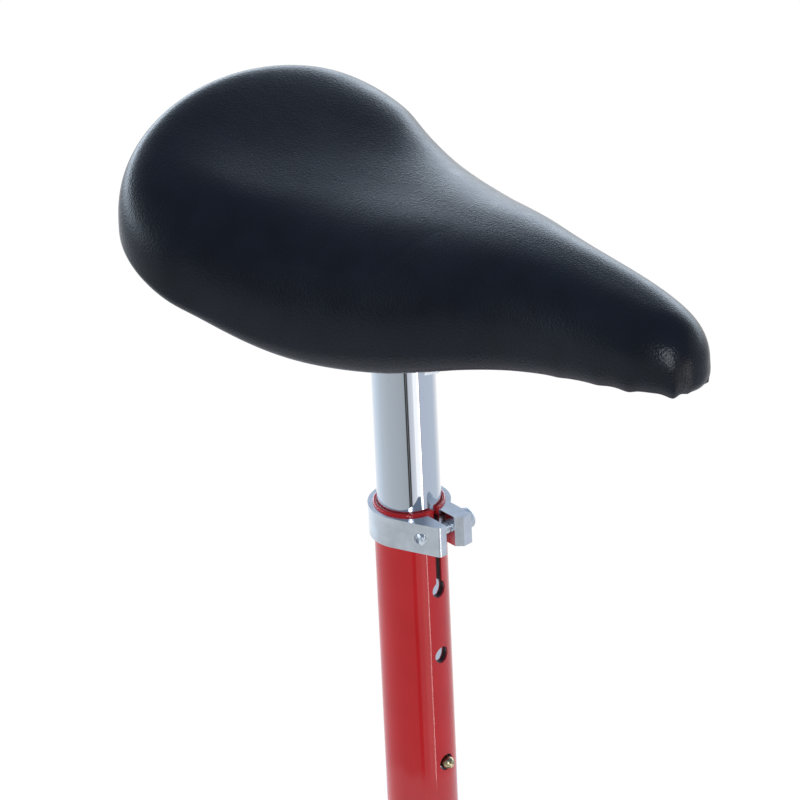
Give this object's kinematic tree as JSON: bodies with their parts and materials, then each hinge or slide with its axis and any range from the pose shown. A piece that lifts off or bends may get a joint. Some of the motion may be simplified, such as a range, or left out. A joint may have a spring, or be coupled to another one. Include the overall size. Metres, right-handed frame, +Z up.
{
  "type": "unicycle",
  "caption": "Unicycle with padded black saddle, chrome seatpost locked by a spring button and bolted collar, red fork, spoked wheel, cranks and pedals.",
  "frame": {"origin": "on the ground under the wheel's axle, midway between the pedals", "axes": "+X forward, the way the saddle's nose points; +Y to the rider's left, along the axle; +Z up, along the seat tube"},
  "size_m": [0.5038, 0.369, 0.8629],
  "materials": {
    "aluminium": "polished aluminium",
    "base_plastic": "moulded black plastic",
    "bearing_steel": "ground steel",
    "black_steel": "black oxide",
    "brass": "antique brass plate",
    "cap_plastic": "black plastic cap",
    "chrome": "bright chrome plate",
    "foam": "open-cell foam",
    "pedal_plastic": "moulded nylon",
    "red_paint": "gloss red enamel",
    "reflector": "amber prismatic reflector",
    "seal_rubber": "nitrile seal",
    "spring_steel": "spring steel",
    "tape": "rubber rim strip",
    "tube_rubber": "butyl rubber",
    "tyre_rubber": "black tread rubber",
    "vinyl": "fine-grained black vinyl, satin",
    "zinc_steel": "zinc plated"
  },
  "bodies": {
    "frame": {"frame_tube": "red_paint", "seat_clamp": "aluminium", "clamp_bolt": "zinc_steel", "bearing_cap_bolts": "black_steel", "left_fork_blade": "red_paint", "left_bearing_housing": "red_paint", "left_bearing_cap": "aluminium", "left_outer_race": "bearing_steel", "left_bearing_seals": "seal_rubber", "right_fork_blade": "red_paint", "right_bearing_housing": "red_paint", "right_bearing_cap": "aluminium", "right_outer_race": "bearing_steel", "right_bearing_seals": "seal_rubber"},
    "wheel": {"axle": "bearing_steel", "hub_shell": "chrome", "spokes": "zinc_steel", "spoke_nipples": "brass", "bearing_spacers": "black_steel", "rim": "chrome", "rim_tape": "tape", "tyre": "tyre_rubber", "inner_tube": "tube_rubber", "valve": "brass", "valve_cap": "cap_plastic", "crank_bolts": "zinc_steel", "crank_dust_caps": "cap_plastic", "left_inner_race": "bearing_steel", "left_bearing_balls": "bearing_steel", "left_crank": "chrome", "left_pedal_spindle": "bearing_steel", "left_pedal_cone": "bearing_steel", "left_pedal_locknut": "zinc_steel", "right_inner_race": "bearing_steel", "right_bearing_balls": "bearing_steel", "right_crank": "chrome", "right_pedal_spindle": "bearing_steel", "right_pedal_cone": "bearing_steel", "right_pedal_locknut": "zinc_steel"},
    "seat": {"saddle_cover": "vinyl", "saddle_foam": "foam", "saddle_base": "base_plastic", "saddle_bolts": "zinc_steel", "saddle_washers": "zinc_steel", "saddle_nuts": "zinc_steel", "cover_staples": "zinc_steel", "seatpost": "chrome", "seatpost_plate": "chrome", "snap_button_spring": "spring_steel"},
    "button": {"snap_button": "brass"},
    "left_pedal": {"left_pedal_body": "pedal_plastic", "left_pedal_dust_cap": "cap_plastic", "left_pedal_reflectors": "reflector", "left_pedal_balls": "bearing_steel"},
    "right_pedal": {"right_pedal_body": "pedal_plastic", "right_pedal_dust_cap": "cap_plastic", "right_pedal_reflectors": "reflector", "right_pedal_balls": "bearing_steel"}
  },
  "joints": [
    {"name": "wheel_spin", "type": "hinge", "parent": "frame", "child": "wheel", "pos_m": [0, 0, 0.252], "axis": [0, 1, 0], "continuous": true},
    {"name": "left_pedal_spin", "type": "hinge", "parent": "wheel", "child": "left_pedal", "pos_m": [-0.125, 0.138, 0.252], "axis": [0, 1, 0], "continuous": true},
    {"name": "right_pedal_spin", "type": "hinge", "parent": "wheel", "child": "right_pedal", "pos_m": [0.125, -0.138, 0.252], "axis": [0, 1, 0], "continuous": true},
    {"name": "seatpost_slide", "type": "slide", "parent": "frame", "child": "seat", "axis": [0, 0, 1], "range_m": [-0.05, 0.05], "deforming": ["snap_button", "snap_button_spring"]},
    {"name": "button_press", "type": "slide", "parent": "seat", "child": "button", "axis": [-1, 0, 0], "range_m": [0, 0.0048], "stiffness_N_per_m": 1500, "springref_m": -0.002, "deforming": ["snap_button_spring"]}
  ]
}
